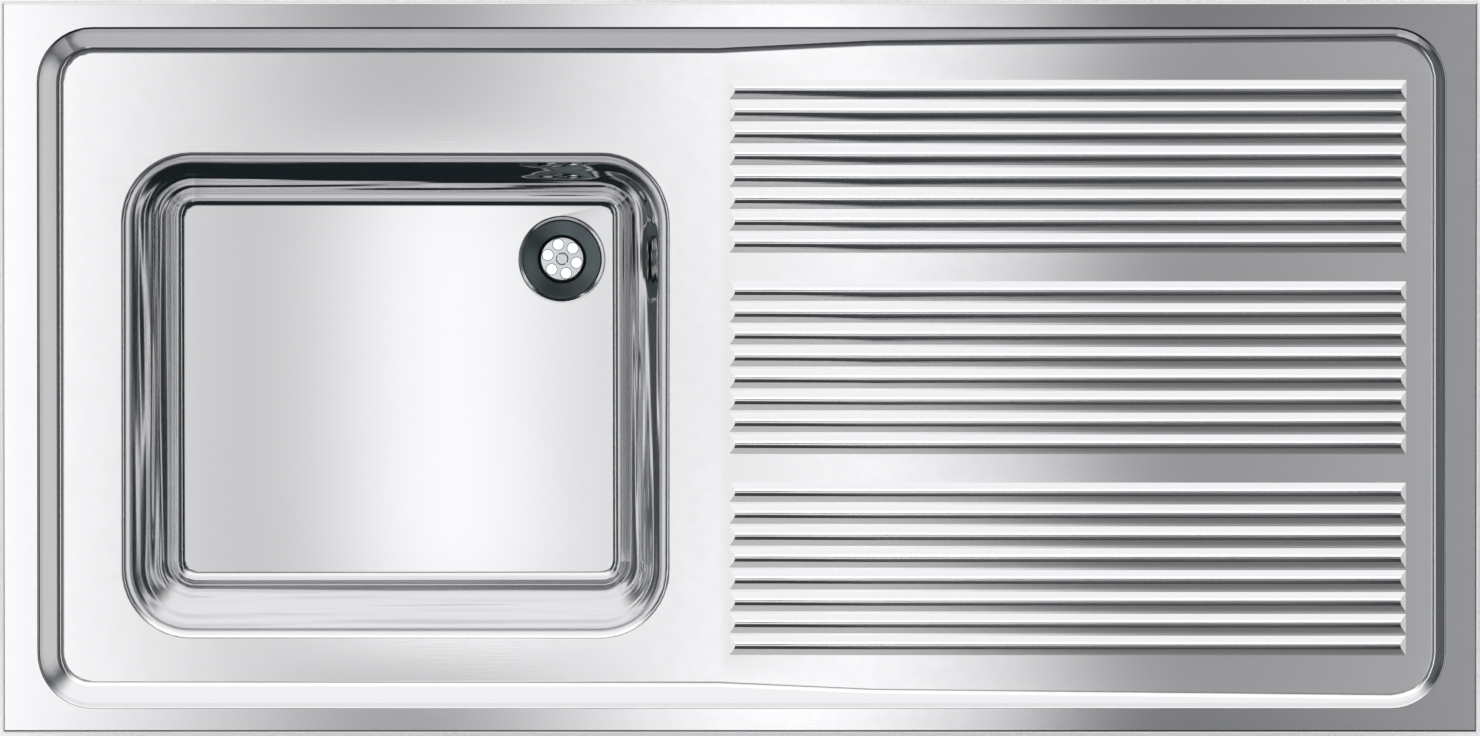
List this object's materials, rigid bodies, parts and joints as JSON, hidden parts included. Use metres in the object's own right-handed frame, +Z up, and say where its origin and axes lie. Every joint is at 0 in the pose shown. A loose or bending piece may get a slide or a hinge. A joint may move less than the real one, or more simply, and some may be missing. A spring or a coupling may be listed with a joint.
{
  "type": "kitchen sink with drainboard",
  "caption": "Lay-on stainless kitchen sink: a pressed top with a recessed tray, a deep bowl at the left and a ribbed drainer at the right, with waste and edge clamps.",
  "frame": {"origin": "middle of the plane on which the return flange rests on the cabinet", "axes": "+X along the sink from the bowl to the drainer, +Y to the rear (wall) edge, +Z up"},
  "size_m": [1.2, 0.595, 0.211],
  "materials": {
    "satin_steel": "satin, brushed along the sink",
    "bowl_steel": "polished deep-drawn walls, satin floor",
    "chrome": "bright",
    "zinc_steel": "zinc plated, dull",
    "rubber": "matt black",
    "damping_sheet": "matt grey, faintly pitted",
    "white_plastic": "moulded, matt",
    "brass": "turned"
  },
  "bodies": {
    "root": {"top": "satin_steel", "bowl": "bowl_steel", "bowl_pad": "damping_sheet", "drainer_pad": "damping_sheet", "stiffener_left": "zinc_steel", "stiffener_right": "zinc_steel", "waste_dish": "chrome", "dish_gasket": "rubber", "strainer": "chrome", "strainer_screw": "chrome", "body_gasket": "rubber", "waste_body": "white_plastic", "waste_nut": "brass", "clamp_brackets": "zinc_steel", "clamp_rivets": "zinc_steel", "earth_tag": "zinc_steel", "earth_screw": "zinc_steel", "earth_washers": "brass", "earth_nut": "brass"},
    "hook_front_left": {"clamp_hook_front_left": "zinc_steel", "clamp_screw_front_left": "zinc_steel"},
    "hook_front_right": {"clamp_hook_front_right": "zinc_steel", "clamp_screw_front_right": "zinc_steel"},
    "hook_rear_left": {"clamp_hook_rear_left": "zinc_steel", "clamp_screw_rear_left": "zinc_steel"},
    "hook_rear_right": {"clamp_hook_rear_right": "zinc_steel", "clamp_screw_rear_right": "zinc_steel"}
  },
  "joints": [
    {"name": "swing_front_left", "type": "hinge", "parent": "root", "child": "hook_front_left", "pos_m": [-0.525, -0.2705, 0.011], "axis": [1, 0, 0], "range_deg": [0, 85]},
    {"name": "swing_front_right", "type": "hinge", "parent": "root", "child": "hook_front_right", "pos_m": [0.525, -0.2705, 0.011], "axis": [1, 0, 0], "range_deg": [0, 85]},
    {"name": "swing_rear_left", "type": "hinge", "parent": "root", "child": "hook_rear_left", "pos_m": [-0.525, 0.2705, 0.011], "axis": [-1, 0, 0], "range_deg": [0, 85]},
    {"name": "swing_rear_right", "type": "hinge", "parent": "root", "child": "hook_rear_right", "pos_m": [0.525, 0.2705, 0.011], "axis": [-1, 0, 0], "range_deg": [0, 85]}
  ]
}
